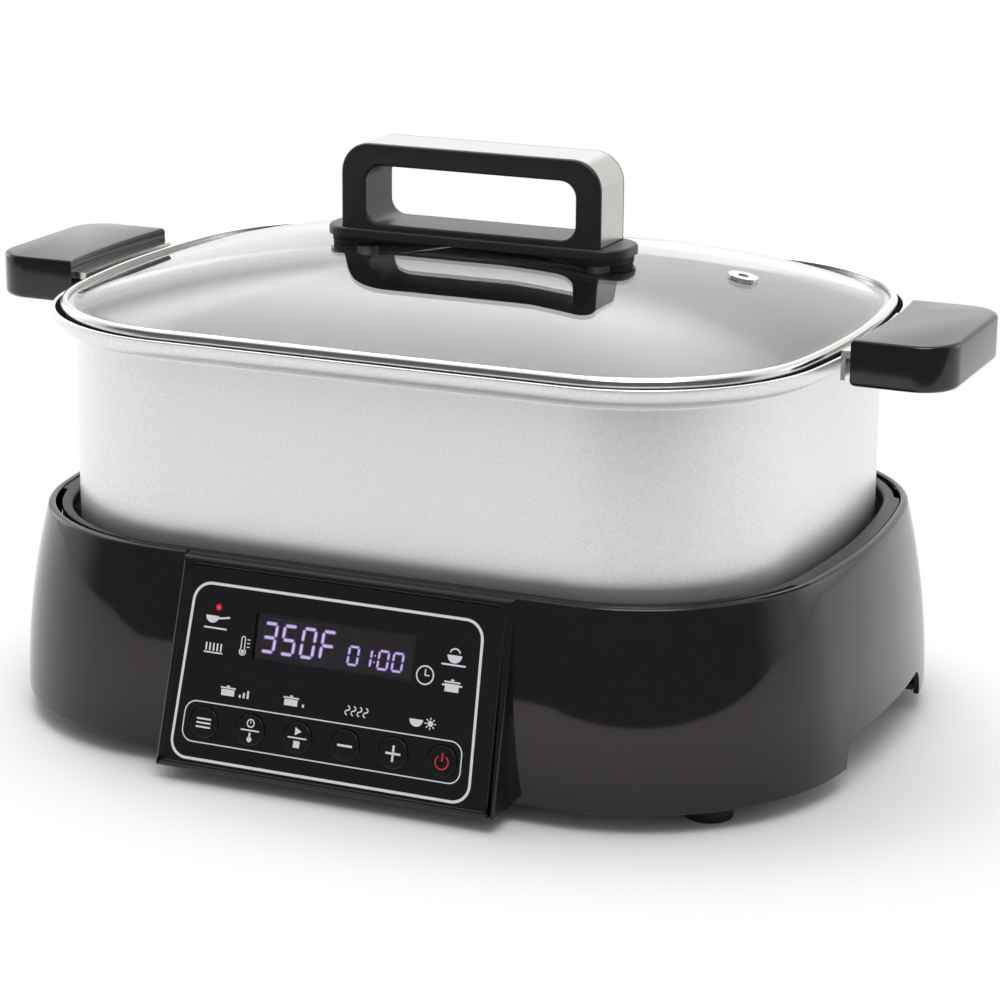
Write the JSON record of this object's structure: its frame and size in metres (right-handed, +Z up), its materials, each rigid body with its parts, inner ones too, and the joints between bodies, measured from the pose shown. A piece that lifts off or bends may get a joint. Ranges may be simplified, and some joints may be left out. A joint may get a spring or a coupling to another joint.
{
  "type": "electric skillet",
  "caption": "Electric skillet: oblong powered base with a tilted key panel, a lift-out pot with side grips and a lift-off domed glass lid with a loop handle.",
  "frame": {"origin": "on the table plane, under the middle of the outer box", "axes": "+X to the right grip, -Y out of the control panel, +Z up"},
  "size_m": [0.44, 0.3012, 0.2445],
  "materials": {
    "gloss_black": "gloss",
    "satin_black": "satin",
    "tray_black": "matt",
    "key_black": "satin",
    "grip_black": "satin",
    "rubber": "matt",
    "silicone": "matt",
    "screw_steel": "zinc plated",
    "trim_steel": "polished",
    "liner_steel": "mill",
    "pot_silver": "fine metallic",
    "heater_alloy": "cast",
    "heater_sheath": "oxidised",
    "ceramic": "matt",
    "board_green": "satin",
    "relay_blue": "gloss",
    "winding": "satin",
    "can": "gloss",
    "dark_plastic": "matt",
    "window_tint": "gloss",
    "display_face": "lit segments",
    "lamp_red": "lit",
    "lid_clear": "clear"
  },
  "bodies": {
    "base": {"base_shell": "gloss_black", "top_ring": "satin_black", "base_tray": "tray_black", "tray_screws": "screw_steel", "feet": "rubber", "cord_bushing": "rubber", "well_liner": "liner_steel", "heater_plate": "heater_alloy", "heater_tube": "heater_sheath", "tube_sleeves": "ceramic", "plate_posts": "screw_steel", "plate_screws": "screw_steel", "sensor_guide": "dark_plastic", "sensor_spring": "screw_steel", "thermal_fuse": "ceramic", "power_board": "board_green", "relay": "relay_blue", "transformer": "winding", "capacitors": "can", "terminal_block": "ceramic", "panel_case": "gloss_black", "panel_fascia": "gloss_black", "display_window": "window_tint", "display_block": "display_face", "status_lamp": "lamp_red", "control_board": "board_green", "key_switches": "dark_plastic", "board_screws": "screw_steel"},
    "sensor": {"sensor_cap": "heater_alloy"},
    "key_1_body": {"key_1": "key_black"},
    "key_2_body": {"key_2": "key_black"},
    "key_3_body": {"key_3": "key_black"},
    "key_4_body": {"key_4": "key_black"},
    "key_5_body": {"key_5": "key_black"},
    "key_6_body": {"key_6": "key_black"},
    "pot_body": {"pot": "pot_silver", "bracket_left": "trim_steel", "bracket_right": "trim_steel", "grip_left": "grip_black", "grip_right": "grip_black", "grip_screws": "screw_steel"},
    "lid": {"lid_glass": "lid_clear", "lid_band": "trim_steel", "steam_eyelet": "trim_steel", "handle_gasket": "rubber", "handle_seat": "satin_black", "handle_loop": "satin_black", "handle_strip": "trim_steel", "lid_screws": "screw_steel", "lid_washers": "silicone"}
  },
  "joints": [
    {"name": "pot_lift", "type": "slide", "parent": "base", "child": "pot_body", "axis": [0, 0, 1], "range_m": [0, 0.12]},
    {"name": "lid_lift", "type": "slide", "parent": "pot_body", "child": "lid", "axis": [0, 0, 1], "range_m": [0, 0.1]},
    {"name": "sensor_press", "type": "slide", "parent": "base", "child": "sensor", "axis": [0, 0, -1], "range_m": [0, 0.0025], "stiffness_N_per_m": 1200, "deforming": ["sensor_spring"]},
    {"name": "key_1_press", "type": "slide", "parent": "base", "child": "key_1_body", "axis": [0, 0.9584, -0.2856], "range_m": [0, 0.0007], "stiffness_N_per_m": 2500},
    {"name": "key_2_press", "type": "slide", "parent": "base", "child": "key_2_body", "axis": [0, 0.9584, -0.2856], "range_m": [0, 0.0007], "stiffness_N_per_m": 2500},
    {"name": "key_3_press", "type": "slide", "parent": "base", "child": "key_3_body", "axis": [0, 0.9584, -0.2856], "range_m": [0, 0.0007], "stiffness_N_per_m": 2500},
    {"name": "key_4_press", "type": "slide", "parent": "base", "child": "key_4_body", "axis": [0, 0.9584, -0.2856], "range_m": [0, 0.0007], "stiffness_N_per_m": 2500},
    {"name": "key_5_press", "type": "slide", "parent": "base", "child": "key_5_body", "axis": [0, 0.9584, -0.2856], "range_m": [0, 0.0007], "stiffness_N_per_m": 2500},
    {"name": "key_6_press", "type": "slide", "parent": "base", "child": "key_6_body", "axis": [0, 0.9584, -0.2856], "range_m": [0, 0.0007], "stiffness_N_per_m": 2500}
  ]
}
